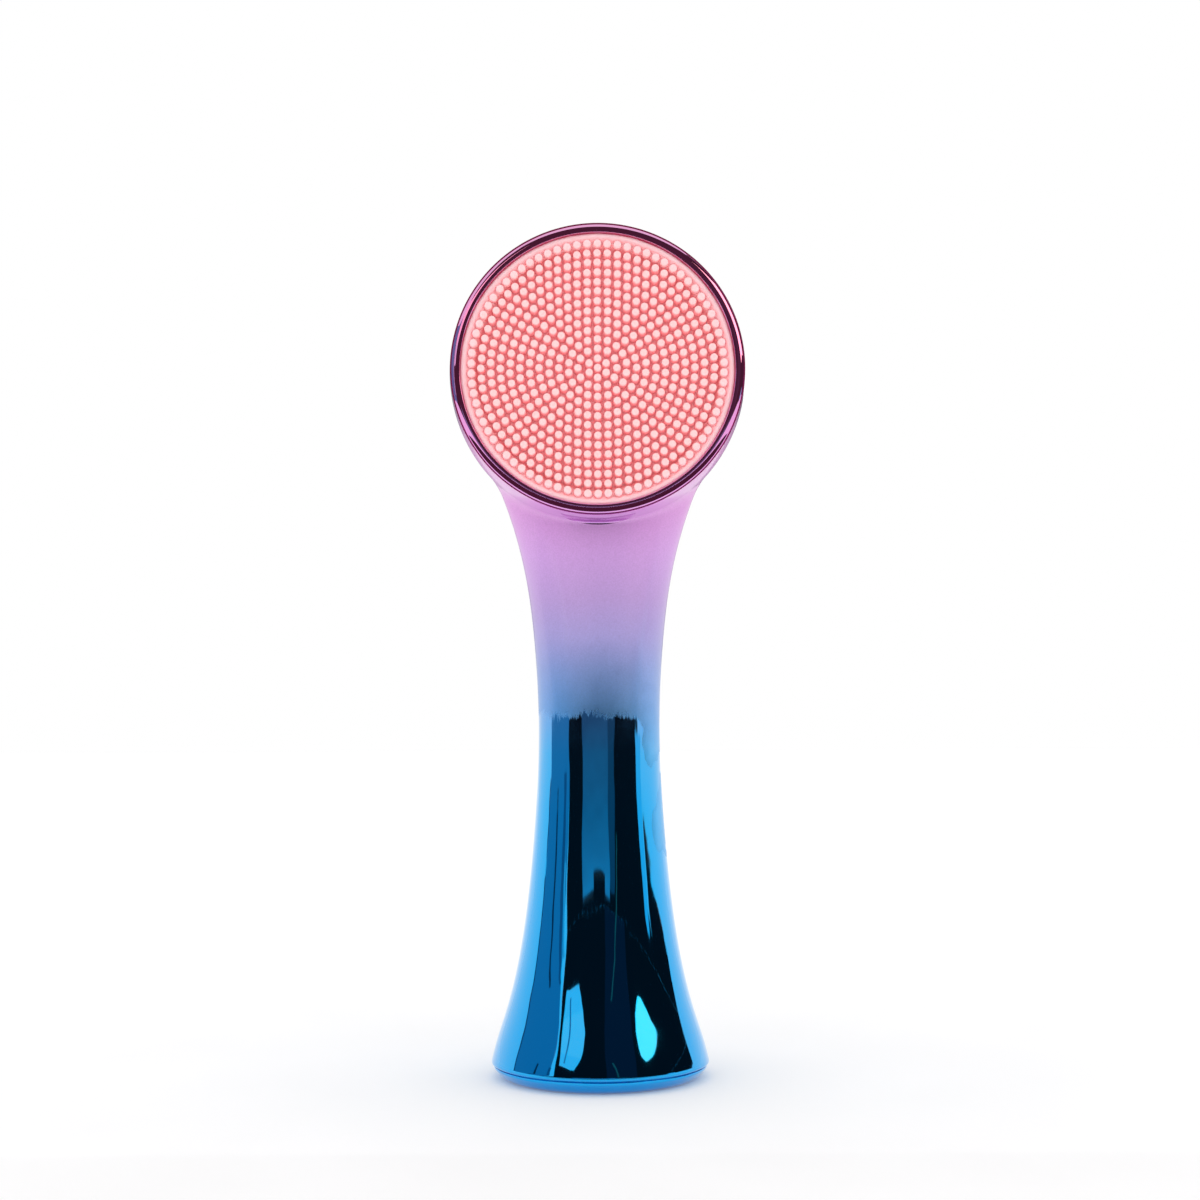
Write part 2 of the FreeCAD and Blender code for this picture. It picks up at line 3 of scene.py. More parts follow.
import bpy
import numpy as np
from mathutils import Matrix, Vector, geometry


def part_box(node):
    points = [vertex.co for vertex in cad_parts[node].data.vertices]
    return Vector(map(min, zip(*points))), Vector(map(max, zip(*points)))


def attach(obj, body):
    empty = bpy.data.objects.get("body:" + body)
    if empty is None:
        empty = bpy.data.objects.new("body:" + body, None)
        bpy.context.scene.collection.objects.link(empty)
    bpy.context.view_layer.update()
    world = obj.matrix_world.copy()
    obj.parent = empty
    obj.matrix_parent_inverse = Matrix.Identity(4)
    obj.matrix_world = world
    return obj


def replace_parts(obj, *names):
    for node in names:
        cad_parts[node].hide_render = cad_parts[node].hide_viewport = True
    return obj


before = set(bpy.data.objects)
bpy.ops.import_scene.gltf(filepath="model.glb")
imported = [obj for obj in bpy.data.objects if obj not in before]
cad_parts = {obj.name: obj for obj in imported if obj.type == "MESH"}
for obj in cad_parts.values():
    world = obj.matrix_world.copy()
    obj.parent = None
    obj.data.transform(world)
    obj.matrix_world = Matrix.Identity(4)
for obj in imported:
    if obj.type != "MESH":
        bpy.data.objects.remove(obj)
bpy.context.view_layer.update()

# The finished look of a double-sided facial cleansing brush: mirror-plated shell, silicone nub pad in front,
# fibre tufts under a clear cover behind. Lengths are in metres; the handle's axis is Z, the head's axis is Y.

MM = 0.001
FULL_TURN = 2 * math.pi

# ------------------------------------------------ sizes

COVER_LOW, COVER_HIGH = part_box("dust_cover")
PAD_LOW, PAD_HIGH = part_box("silicone_pad")
RING_LOW, RING_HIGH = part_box("brush_ring")
BLOCK_TOP_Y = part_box("brush_block")[1].y

HEAD_Z = (COVER_LOW.z + COVER_HIGH.z) / 2
PAD_RADIUS = 24.45 * MM
NUB_HEIGHT = 2.7 * MM
NUB_PITCH = 1.73 * MM
NUB_RINGS = 13
BORDER_RISE = 2.1 * MM
BORDER_WIDTH = 0.9 * MM
PAD_SKIRT = 1.5 * MM
PAD_SKIRT_WALL = 1.2 * MM
RISE_START = 20.2 * MM
PAD_FLOOR_Y = PAD_LOW.y + NUB_HEIGHT
LIP_Y = PAD_LOW.y
BACK_RIM_Y = RING_LOW.y + 3.0 * MM

# Handle cross-sections from foot to head: height, half width, half thickness.
HANDLE_SECTIONS = np.array([
    (2.5, 19.8, 19.8),
    (5.8, 18.97, 18.97),
    (11.5, 17.15, 17.15),
    (24.2, 14.2, 14.2),
    (42.3, 12.05, 12.05),
    (62.5, 11.1, 11.1),
    (79.0, 11.87, 10.7),
    (90.1, 13.33, 9.8),
    (99.4, 15.6, 9.1),
    (108.7, 19.0, 8.7),
    (114.5, 21.6, 8.5),
]) * MM
FOOT_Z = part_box("body_shell")[0].z
BORE_FOOT = 17.5 * MM

# Head drum: radius at the front lip, half way back and at the back rim.
DRUM_RADII = np.array((26.2, 26.5, 23.6)) * MM
LIP_ROUNDING = 1.4 * MM
RIM_ROUNDING = 0.3 * MM
FRONT_OPENING, FRONT_DEPTH = 24.5 * MM, 7.0 * MM
BACK_OPENING, BACK_DEPTH = 21.9 * MM, 8.0 * MM
DRUM_BORE = 20.4 * MM
WEB = 2.2 * MM

# Tufts: their rings, the filaments in each, and the length in the middle.
TUFT_RINGS, TUFT_PITCH, FILAMENTS = 6, 2.85 * MM, 76
TUFT_RADIUS = 0.8 * MM
FIBRE_LENGTH = 15.6 * MM


# ------------------------------------------------ mesh making


def mesh_object(name, points, faces):
    """A smooth-shaded mesh object at the origin from a point array and a list of face index lists."""
    mesh = bpy.data.meshes.new(name)
    mesh.from_pydata(np.asarray(points).tolist(), [], faces)
    mesh.shade_smooth()
    mesh.validate()
    piece = bpy.data.objects.new(name, mesh)
    bpy.context.scene.collection.objects.link(piece)
    return piece


def grid_faces(rows, columns, start=0):
    """Quads of a grid whose columns wrap round; row and column numbers give each point's index."""
    row, column = np.meshgrid(np.arange(rows - 1), np.arange(columns), indexing="ij")
    here = start + row * columns
    after = (column + 1) % columns
    quads = np.stack((here + column, here + after, here + columns + after, here + columns + column), axis=-1)
    return quads.reshape(-1, 4).tolist()


def fan_faces(pole, first, columns, outward):
    """Triangles from a pole to a ring of points; outward tells which way round they run."""
    column = np.arange(columns)
    after = (column + 1) % columns
    ends = (first + column, first + after) if outward else (first + after, first + column)
    return np.stack((np.full(columns, pole), *ends), axis=-1).tolist()


def closed_skin(rings, start_pole, end_pole, start=0):
    """Points and faces of a closed skin: rings of points that wrap round, and a fan to a pole at either end.

    Seen from outside, going round is to the right and going along is upwards. Point numbers begin at start.
    """
    rows, columns = rings.shape[:2]
    points = np.concatenate((rings.reshape(-1, 3), [start_pole, end_pole]))
    pole, last_ring = start + rows * columns, start + (rows - 1) * columns
    faces = grid_faces(rows, columns, start)
    faces += fan_faces(pole, start, columns, False) + fan_faces(pole + 1, last_ring, columns, True)
    return points, faces


def soft_outline(corners, step=0.25 * MM, arc_points=10):
    """Points along a line of corners, each (radius, along, rounding).

    A corner with a rounding becomes an arc tangent to both neighbouring runs; its tangent length is the
    rounding times the tangent of half the turn. Long runs get extra points near their ends.
    """
    places = np.array([corner[:2] for corner in corners], float)
    outline = [places[:1]]
    for before, here, after, corner in zip(places, places[1:], places[2:], corners[1:]):
        rounding = corner[2] if len(corner) > 2 else 0.0
        into, out = here - before, after - here
        into, out = into / np.linalg.norm(into), out / np.linalg.norm(out)
        turn = math.atan2(into[0] * out[1] - into[1] * out[0], into @ out)
        if rounding <= 0 or abs(turn) < 1e-6:
            outline.append(here[None])
            continue
        tangent = rounding * math.tan(abs(turn) / 2)
        side = math.copysign(1.0, turn) * np.array((-into[1], into[0]))
        centre = here - into * tangent + side * rounding
        angle = np.linspace(0, turn, arc_points)[:, None]
        spoke = here - into * tangent - centre
        across = np.array((-spoke[1], spoke[0]))
        outline.append(centre + spoke * np.cos(angle) + across * np.sin(angle))
    outline.append(places[-1:])
    return with_guards(np.concatenate(outline), step)


def with_guards(outline, step):
    """The outline with a point close to each end of every run longer than three steps."""
    run = np.diff(outline, axis=0)
    length = np.linalg.norm(run, axis=1)
    long = length > 3 * step
    share = (step / np.where(long, length, 1.0))[:, None]
    near, far = outline[:-1] + run * share, outline[1:] - run * share
    place = np.arange(len(run))
    order = np.concatenate((np.arange(len(outline)), place[long] + 0.3, place[long] + 0.6))
    points = np.concatenate((outline, near[long], far[long]))
    return points[np.argsort(order, kind="stable")]


def turned_about_handle(outline, columns=256):
    """The skin of a solid turned about the handle's axis, from an outline of (radius, height) points.

    The outline starts and ends on the axis and runs up the outside: x = r cos a, y = r sin a, z = height.
    """
    angle = np.linspace(0, FULL_TURN, columns, endpoint=False)
    radius, height = outline[1:-1, 0, None], outline[1:-1, 1, None]
    rings = np.stack((radius * np.cos(angle), radius * np.sin(angle), height + 0 * angle), axis=-1)
    return closed_skin(rings, (0, 0, outline[0, 1]), (0, 0, outline[-1, 1]))


def about_head(radius, along, angle):
    """Points round the head's axis: x = r cos a, y = along, z = head height - r sin a."""
    return np.stack((radius * np.cos(angle), along + 0 * angle, HEAD_Z - radius * np.sin(angle)), axis=-1)


def turned_about_head(outline, start=0, columns=288):
    """The skin of a solid turned about the head's axis, from an outline of (radius, along) points.

    The outline starts and ends on the axis and runs from front to back on the outside.
    """
    angle = np.linspace(0, FULL_TURN, columns, endpoint=False)
    rings = about_head(outline[1:-1, 0, None], outline[1:-1, 1, None], angle)
    return closed_skin(rings, (0, outline[0, 1], HEAD_Z), (0, outline[-1, 1], HEAD_Z), start)


def natural_spline(knots, values, at):
    """Natural cubic spline through the values at the knots: second derivatives that are continuous at every
    knot and zero at both ends come from one linear system, and give the cubic between each pair."""
    gap, count = np.diff(knots), len(knots)
    system, right = np.eye(count), np.zeros(count)
    inner = np.arange(1, count - 1)
    system[inner, inner - 1] = gap[:-1]
    system[inner, inner] = 2 * (gap[:-1] + gap[1:])
    system[inner, inner + 1] = gap[1:]
    slope = np.diff(values) / gap
    right[inner] = 6 * np.diff(slope)
    bend = np.linalg.solve(system, right)
    span = np.clip(np.searchsorted(knots, at) - 1, 0, count - 2)
    low, high = at - knots[span], knots[span + 1] - at
    width = gap[span]
    ends = (bend[span] * high**3 + bend[span + 1] * low**3) / (6 * width)
    first = (values[span] / width - bend[span] * width / 6) * high
    second = (values[span + 1] / width - bend[span + 1] * width / 6) * low
    return ends + first + second


# ------------------------------------------------ shell


def drum_radius(along):
    """Radius of the barrelled drum at a place along the head: the circle arc through its three radii."""
    half = (BACK_RIM_Y - LIP_Y) / 2
    front, middle, back = DRUM_RADII
    # The arc's centre is as far from the middle point as from the front one and from the back one.
    system = np.array(((2 * half, 2 * (middle - front)), (2 * half, 2 * (back - middle))))
    right = np.array((middle**2 - front**2 - half**2, half**2 + back**2 - middle**2))
    centre_along, centre_radius = np.linalg.solve(system, right)
    reach = math.hypot(-centre_along, middle - centre_radius)
    place = np.asarray(along) - (LIP_Y + BACK_RIM_Y) / 2
    return centre_radius + np.sqrt(reach**2 - (place - centre_along) ** 2)


def drum(start):
    """The head's drum: recess for the pad, rolled lip, barrelled side, back rim and the deep back recess."""
    barrel = np.linspace(LIP_Y, BACK_RIM_Y, 61)
    side = [(radius, along, 0.0) for radius, along in zip(drum_radius(barrel), barrel)]
    side[0] = (*side[0][:2], LIP_ROUNDING)
    side[-1] = (*side[-1][:2], RIM_ROUNDING)
    recess = LIP_Y + FRONT_DEPTH
    step = BACK_RIM_Y - BACK_DEPTH
    corners = [
        (0, recess),
        (FRONT_OPENING, recess, 0.2 * MM),
        (FRONT_OPENING, LIP_Y, 0.15 * MM),
        *side,
        (BACK_OPENING, BACK_RIM_Y, RIM_ROUNDING),
        (BACK_OPENING, step, 0.1 * MM),
        (DRUM_BORE, step, 0.1 * MM),
        (DRUM_BORE, recess + WEB, 0.2 * MM),
        (0, recess + WEB),
    ]
    return turned_about_head(soft_outline(corners, step=0.1 * MM, arc_points=14), start)


def handle_point(angle, height):
    """A point of the handle's outside: an ellipse whose half width and half thickness are splines of the
    height."""
    heights, widths, depths = HANDLE_SECTIONS.T
    wide, deep = natural_spline(heights, widths, height), natural_spline(heights, depths, height)
    return np.stack((wide * np.cos(angle), deep * np.sin(angle), height), axis=-1)


def meeting_height(angle):
    """The height at which each line up the handle meets the drum, found by halving."""
    low, high = np.full_like(angle, 80 * MM), np.full_like(angle, 114 * MM)
    for _ in range(40):
        middle = (low + high) / 2
        point = handle_point(angle, middle)
        outside = np.hypot(point[:, 0], point[:, 2] - HEAD_Z) > drum_radius(point[:, 1])
        low, high = np.where(outside, middle, low), np.where(outside, high, middle)
    return (low + high) / 2


def unit(vectors):
    """Vectors scaled to length one."""
    return vectors / np.linalg.norm(vectors, axis=-1, keepdims=True)


def drum_normal(point):
    """Outward normal of the drum's side: the radial direction, tipped by the slope of the barrel."""
    nudge = 0.05 * MM
    slope = (drum_radius(point[:, 1] + nudge) - drum_radius(point[:, 1] - nudge)) / (2 * nudge)
    radial = unit(np.stack((point[:, 0], 0 * slope, point[:, 2] - HEAD_Z), axis=-1))
    radial[:, 1] = -slope
    return unit(radial)


def handle():
    """The flared handle: foot, waist and neck, with a soft fillet that runs out onto the drum.

    Each line up the handle stops short of the drum, and a Hermite cubic, tangent to the handle below and to
    the drum above, carries it onto the drum; the fillet is larger at the sides than in front.
    """
    angle = np.linspace(0, FULL_TURN, 256, endpoint=False)
    meet = meeting_height(angle)
    reach = (0.7 + 2.1 * np.cos(angle) ** 2) * MM
    foot_edge = 0.4 * MM
    share = np.linspace(0, 1, 240)[:, None]
    height = FOOT_Z + foot_edge + share * (meet - reach - FOOT_Z - foot_edge)
    outside = handle_point(angle + 0 * height, height)
    top, below = outside[-1], outside[-2]
    rising = unit(top - below)
    corner = handle_point(angle, meet)
    normal = drum_normal(corner)
    away = unit(np.stack((np.cos(angle), np.sin(angle), 0 * angle), axis=-1))
    along_drum = unit(away - normal * np.sum(away * normal, axis=-1, keepdims=True))
    landing = corner + along_drum * reach[:, None]
    scale = drum_radius(landing[:, 1]) / np.hypot(landing[:, 0], landing[:, 2] - HEAD_Z)
    landing[:, 0] *= scale
    landing[:, 2] = HEAD_Z + (landing[:, 2] - HEAD_Z) * scale
    end_normal = drum_normal(landing)
    leaving = unit(along_drum - end_normal * np.sum(along_drum * end_normal, axis=-1, keepdims=True))
    pull = np.linalg.norm(landing - top, axis=-1)[:, None]
    turn = np.linspace(0, 1, 15)[1:, None, None]
    fillet = (
        (2 * turn**3 - 3 * turn**2 + 1) * top
        + (turn**3 - 2 * turn**2 + turn) * rising * pull
        + (3 * turn**2 - 2 * turn**3) * landing
        + (turn**3 - turn**2) * leaving * pull
    )
    tucked = (landing - end_normal * 0.6 * MM)[None]
    rings = np.concatenate((foot_rings(angle, outside[0], foot_edge), outside, fillet, tucked))
    return closed_skin(rings, (0, 0, 9 * MM), (0, 0, 112 * MM))


def foot_rings(angle, edge_ring, rounding):
    """Rings from inside the bore, down to the foot's face, across it, and round its outer edge."""
    heel = np.hypot(edge_ring[:, 0], edge_ring[:, 1]).mean()
    turn = np.linspace(-math.pi / 2, 0, 6)[:-1]
    inner = [(BORE_FOOT - 2 * MM, 9 * MM), (BORE_FOOT, 7 * MM), (BORE_FOOT, FOOT_Z + 0.1 * MM)]
    inner += [(BORE_FOOT, FOOT_Z), (BORE_FOOT + 0.1 * MM, FOOT_Z)]
    outer = np.stack((np.cos(turn) - 1, np.sin(turn) + 1), axis=-1) * rounding + (heel, FOOT_Z)
    radius, height = np.concatenate((inner, outer)).T[:, :, None]
    return np.stack((radius * np.cos(angle), radius * np.sin(angle), height + 0 * angle), axis=-1)


def body_shell():
    """Handle and drum as one moulding: the drum's points follow the handle's."""
    points, faces = handle()
    drum_points, drum_faces = drum(len(points))
    return mesh_object("plated_shell", np.concatenate((points, drum_points)), faces + drum_faces)


# ------------------------------------------------ base cap and brush ring


def base_cap():
    """The cap under the foot: grooved underside, rounded edge, shadow line, and the snap skirt inside."""
    corners = [
        (0, 0),
        (12.0, 0, 0.3),
        (12.0, 0.5, 0.1),
        (15.0, 0.5, 0.1),
        (15.0, 0, 0.3),
        (17.6, 0, 3.4),
        (19.3, 1.9, 0.6),
        (19.3, 2.3, 0.1),
        (18.9, 2.3, 0.05),
        (18.9, 2.5),
        (17.45, 2.5),
        (17.45, 7.2, 0.2),
        (16.15, 7.2, 0.2),
        (16.15, 2.5),
        (0, 2.5),
    ]
    outline = soft_outline([tuple(value * MM for value in corner) for corner in corners])
    return mesh_object("foot_cap", *turned_about_handle(outline))


def brush_ring():
    """The trim ring: a thin skirt in the head, a flange over the back rim and the spigot for the cover."""
    inside, seat = 19.65 * MM, RING_LOW.y
    flange, top = BACK_RIM_Y + 1.4 * MM, RING_HIGH.y
    corners = [
        (21.85 * MM, seat, 0.1 * MM),
        (21.85 * MM, BACK_RIM_Y),
        (23.0 * MM, BACK_RIM_Y, 0.1 * MM),
        (23.0 * MM, flange, 0.4 * MM),
        (20.9 * MM, flange, 0.1 * MM),
        (20.9 * MM, top, 0.4 * MM),
        (inside, top, 0.4 * MM),
        (inside, seat, 0.1 * MM),
    ]
    outline = soft_outline([(inside + 1.0 * MM, seat), *corners, (inside + 1.0 * MM, seat)])[:-1]
    columns = 288
    angle = np.linspace(0, FULL_TURN, columns, endpoint=False)
    rings = about_head(outline[:, 0, None], outline[:, 1, None], angle)
    rings = np.concatenate((rings, rings[:1]))
    faces = grid_faces(len(rings), columns)
    wrapped = np.array(faces) % ((len(rings) - 1) * columns)
    return mesh_object("trim_ring", rings[:-1].reshape(-1, 3), wrapped.tolist())


# ------------------------------------------------ silicone pad


def ring_places(rings, pitch):
    """The centre, then six places on the first ring, twelve on the second and so on, as (x, z) pairs.

    Ring k holds 6k places, evenly spaced from the top, at k pitches from the centre.
    """
    ring = np.repeat(np.arange(1, rings + 1), 6 * np.arange(1, rings + 1))
    first = 3 * ring * (ring - 1)
    step = np.arange(len(ring)) - first
    angle = FULL_TURN * (step / (6 * ring) + 0.25)
    across = ring * pitch * np.cos(angle)
    up = ring * pitch * np.sin(angle)
    return np.concatenate(([(0.0, 0.0)], np.stack((across, up), axis=-1)))


def floor_rise(from_middle):
    """How far the pad's floor has risen at a distance from its middle: level, then a smooth step
    (3t^2 - 2t^3) up to just under the border."""
    share = np.clip((from_middle - RISE_START) / (PAD_RADIUS - BORDER_WIDTH - RISE_START), 0, 1)
    return (BORDER_RISE - 0.15 * MM) * share**2 * (3 - 2 * share)


def nub_rings(places, columns, chance):
    """Rings of every nub: a flared root, a slightly tapered stem and a flattened round tip."""
    profile = np.array([(0.82, 0.0), (0.745, 0.06), (0.68, 0.9), (0.62, 0.975), (0.42, 0.997)]) * (MM, 1)
    angle = np.linspace(0, FULL_TURN, columns, endpoint=False)
    lean = chance.normal(0, 0.012, (len(places), 2))
    foot = floor_rise(np.linalg.norm(places, axis=-1))[:, None, None]
    radius = profile[:, 0, None]
    rise = foot + (NUB_HEIGHT - foot) * profile[None, :, 1, None]
    ring_x = radius * np.cos(angle)
    ring_z = -radius * np.sin(angle)
    x = places[:, None, None, 0] + ring_x[None] + lean[:, 0, None, None] * rise
    z = places[:, None, None, 1] + ring_z[None] + lean[:, 1, None, None] * rise
    y = PAD_FLOOR_Y - rise + 0 * x
    tips = np.stack(
        (places[:, 0] + lean[:, 0] * NUB_HEIGHT, np.full(len(places), PAD_FLOOR_Y - NUB_HEIGHT),
         places[:, 1] + lean[:, 1] * NUB_HEIGHT), axis=-1)
    rings = np.stack((x, y, z), axis=-1)
    rings[..., 2] += HEAD_Z
    tips[:, 2] += HEAD_Z
    return rings, tips


def border_outline():
    """The pad's border, skirt and back, as (radius, along) points from the floor's edge to the middle."""
    inner, top = PAD_RADIUS - BORDER_WIDTH, PAD_FLOOR_Y - BORDER_RISE
    corners = [
        (inner, top + 0.15 * MM),
        (inner + 0.3 * MM, top, 0.25 * MM),
        (PAD_RADIUS, top, 0.45 * MM),
        (PAD_RADIUS, PAD_HIGH.y, 0.2 * MM),
        (PAD_RADIUS - PAD_SKIRT_WALL, PAD_HIGH.y, 0.1 * MM),
        (PAD_RADIUS - PAD_SKIRT_WALL, PAD_HIGH.y - PAD_SKIRT),
        (0, PAD_HIGH.y - PAD_SKIRT),
    ]
    return soft_outline(corners, step=0.15 * MM, arc_points=6)


def silicone_pad():
    """The silicone pad as one skin: a floor pierced where the nubs stand, the nubs, and a soft raised border
    whose trimmed outer edge wanders by a few hundredths of a millimetre."""
    chance = np.random.default_rng(7)
    places, columns, around = ring_places(NUB_RINGS, NUB_PITCH), 12, 240
    rings, tips = nub_rings(places, columns, chance)
    count, rows = rings.shape[:2]
    nub_points = rings.transpose(1, 0, 2, 3).reshape(-1, 3)
    angle = np.linspace(0, FULL_TURN, around, endpoint=False)
    outline = border_outline()
    ragged = trimmed_edge(angle, chance)
    outer = np.clip((outline[:-1, 0, None] / PAD_RADIUS - 0.985) / 0.015, 0, 1)
    border = about_head(outline[:-1, 0, None] + outer * ragged, outline[:-1, 1, None], angle)
    tips_start = len(nub_points)
    border_start = tips_start + count
    back_pole = border_start + border.shape[0] * around
    points = np.concatenate((nub_points, tips, border.reshape(-1, 3), [(0, outline[-1, 1], HEAD_Z)]))
    faces = floor_faces(rings[:, 0], border[0], border_start)
    for row in range(rows - 1):
        faces += collar_faces(row * count * columns, (row + 1) * count * columns, count, columns)
    faces += tip_faces((rows - 1) * count * columns, tips_start, count, columns)
    faces += grid_faces(border.shape[0], around, border_start)
    faces += fan_faces(back_pole, border_start + (border.shape[0] - 1) * around, around, True)
    return mesh_object("nub_pad", points, faces)


def trimmed_edge(angle, chance):
    """How far the trimmed edge wanders: a sum of a few sine waves of random phase, and one small nib."""
    waves = np.array((5, 11, 23, 41, 67))
    phase = chance.uniform(0, FULL_TURN, len(waves))
    size = np.array((0.012, 0.014, 0.018, 0.016, 0.012)) * MM
    wander = np.sum(size[:, None] * np.sin(waves[:, None] * angle + phase[:, None]), axis=0)
    nib = np.exp(-(((angle - math.radians(258)) % FULL_TURN) / 0.025) ** 2)
    return wander - 0.02 * MM + 0.05 * MM * nib


def floor_faces(roots, edge, edge_start):
    """Triangles of the pad's floor between the nubs' root rings and the border, from a constrained
    triangulation that drops every triangle with all three corners on one nub."""
    count, columns = roots.shape[:2]
    flat = np.concatenate((roots.reshape(-1, 3), edge))[:, (0, 2)]
    start = np.arange(count * columns)
    after = start - start % columns + (start + 1) % columns
    loop = np.arange(len(edge))
    borders = np.concatenate((
        np.stack((start, after), axis=-1),
        count * columns + np.stack((loop, (loop + 1) % len(edge)), axis=-1),
    ))
    found = geometry.delaunay_2d_cdt([tuple(p) for p in flat.tolist()], borders.tolist(), [], 0, 1e-9, False)
    corners = np.array(found[2])
    owner = np.where(corners < count * columns, corners // columns, -1 - corners)
    own_nub = (owner[:, 0] == owner[:, 1]) & (owner[:, 1] == owner[:, 2])
    number = np.where(corners < count * columns, corners, corners - count * columns + edge_start)
    return number[~own_nub].tolist()


def collar_faces(low, high, count, columns):
    """Quads between two rings of every nub."""
    start = np.arange(count * columns)
    after = start - start % columns + (start + 1) % columns
    return np.stack((low + start, low + after, high + after, high + start), axis=-1).tolist()


def tip_faces(ring, tips, count, columns):
    """Triangles that close every nub's tip."""
    start = np.arange(count * columns)
    after = start - start % columns + (start + 1) % columns
    return np.stack((ring + start, ring + after, tips + start // columns), axis=-1).tolist()


# ------------------------------------------------ fibres


def fibre_tufts():
    """Soft filaments in tufts: each is a thin three-sided tube that starts in its tuft's hole, bends outwards
    as the square of its length, and ends at a height that falls towards the edge of the brush."""
    chance = np.random.default_rng(11)
    places = ring_places(TUFT_RINGS, TUFT_PITCH)
    count = len(places) * FILAMENTS
    centre = np.repeat(places, FILAMENTS, axis=0)
    spread, around = np.sqrt(chance.uniform(0, 1, count)), chance.uniform(0, FULL_TURN, count)
    offset = TUFT_RADIUS * spread[:, None] * np.stack((np.cos(around), np.sin(around)), axis=-1)
    root = centre + offset
    distance = np.linalg.norm(centre, axis=-1)
    shorter = 2.2 * MM * (distance / (TUFT_RINGS * TUFT_PITCH)) ** 6
    length = FIBRE_LENGTH - shorter + chance.normal(0, 0.22 * MM, count)
    tip = centre * 1.075 + offset * 2.1 + chance.normal(0, 0.16 * MM, (count, 2))
    share = np.array((0.0, 0.4, 0.75, 1.0))
    bend = share[None, :, None] ** 1.8
    line = root[:, None] * (1 - bend) + tip[:, None] * bend
    along = BLOCK_TOP_Y - 1.0 * MM + share[None] * (length[:, None] + 1.0 * MM)
    thick = 0.085 * MM * np.array((1.0, 1.0, 0.9, 0.55))
    side = np.arange(3) * FULL_TURN / 3
    x = line[:, :, None, 0] + thick[None, :, None] * np.cos(side)
    z = HEAD_Z + line[:, :, None, 1] - thick[None, :, None] * np.sin(side)
    y = along[:, :, None] + 0 * x
    points = np.stack((x, y, z), axis=-1).reshape(-1, 3)
    start = (np.arange(count) * 12)[:, None, None]
    row, edge = np.meshgrid(np.arange(3), np.arange(3), indexing="ij")
    here, after = row * 3 + edge, row * 3 + (edge + 1) % 3
    quads = np.stack((here, after, after + 3, here + 3), axis=-1).reshape(1, -1, 4) + start
    ends = np.array(((9, 10, 11), (2, 1, 0)))[None] + start
    faces = quads.reshape(-1, 4).tolist() + ends.reshape(-1, 3).tolist()
    tufts = mesh_object("soft_fibres", points, faces)
    shade = tufts.data.attributes.new("fibre_tone", "FLOAT", "POINT")
    shade.data.foreach_set("value", np.repeat(chance.uniform(0, 1, count), 12).astype(np.float32))
    return tufts


# ------------------------------------------------ material tools


def colour(red, green, blue):
    """A display colour from 0 to 255 as the linear colour that a shader takes."""
    share = np.array((red, green, blue)) / 255
    linear = np.where(share <= 0.04045, share / 12.92, ((share + 0.055) / 1.055) ** 2.4)
    return (*linear.tolist(), 1.0)


class Finish:
    """A node tree being filled in: a material's or a node group's."""

    def __init__(self, tree):
        self.tree = tree

    def add(self, kind, **settings):
        """Adds a node; a setting names one of its properties, or sets the input of that name."""
        node = self.tree.nodes.new(kind)
        for name, value in settings.items():
            words = name.replace("_", " ").title()
            if hasattr(node, name):
                setattr(node, name, value)
            else:
                self.feed(node, words, value)
        return node

    def feed(self, node, name, value):
        """Links a socket to an input, or sets the input to a plain value."""
        socket = node.inputs[name]
        if isinstance(value, bpy.types.NodeSocket):
            self.tree.links.new(value, socket)
        else:
            socket.default_value = value

    def math(self, operation, first, second=0.0, third=0.0):
        """One sum on numbers."""
        node = self.tree.nodes.new("ShaderNodeMath")
        node.operation = operation
        for number, value in enumerate((first, second, third)):
            self.feed(node, number, value)
        return node.outputs[0]

    def ramp(self, factor, stops, blend="LINEAR"):
        """A colour ramp; stops are (place, colour)."""
        node = self.tree.nodes.new("ShaderNodeValToRGB")
        node.color_ramp.interpolation = blend
        elements = node.color_ramp.elements
        while len(elements) < len(stops):
            elements.new(0.5)
        for element, (place, tone) in zip(elements, stops):
            element.position, element.color = place, tone
        self.feed(node, "Fac", factor)
        return node.outputs["Color"]

    def span(self, value, low, high, to_low=0.0, to_high=1.0):
        """Maps a number from one range to another, held at the ends."""
        node = self.tree.nodes.new("ShaderNodeMapRange")
        names = ("Value", "From Min", "From Max", "To Min", "To Max")
        for name, number in zip(names, (value, low, high, to_low, to_high)):
            self.feed(node, name, number)
        return node.outputs["Result"]

    def mix(self, factor, first, second, blend="MIX"):
        """A mix of two colours."""
        node = self.tree.nodes.new("ShaderNodeMix")
        node.data_type, node.blend_type = "RGBA", blend
        self.feed(node, 0, factor)
        self.feed(node, 6, first)
        self.feed(node, 7, second)
        return node.outputs[2]

    def position(self):
        """The Object coordinates, which are places in the brush's own frame."""
        return self.tree.nodes.new("ShaderNodeTexCoord").outputs["Object"]

    def axes(self, vector):
        """The three numbers of a vector."""
        node = self.tree.nodes.new("ShaderNodeSeparateXYZ")
        self.feed(node, "Vector", vector)
        return node.outputs

    def noise(self, vector, scale, detail=2.0, roughness=0.5):
        """Smooth noise; scale is per metre."""
        node = self.tree.nodes.new("ShaderNodeTexNoise")
        names = ("Vector", "Scale", "Detail", "Roughness")
        for name, value in zip(names, (vector, scale, detail, roughness)):
            self.feed(node, name, value)
        return node.outputs["Fac"]

    def group(self, shared, **values):
        """A shared group placed here, with values for its inputs."""
        node = self.tree.nodes.new("ShaderNodeGroup")
        node.node_tree = shared
        for name, value in values.items():
            self.feed(node, name.replace("_", " "), value)
        return node.outputs

    def bump(self, height, distance, strength=1.0):
        """A bump normal; distance is in metres."""
        node = self.tree.nodes.new("ShaderNodeBump")
        for name, value in (("Height", height), ("Distance", distance), ("Strength", strength)):
            self.feed(node, name, value)
        return node.outputs["Normal"]


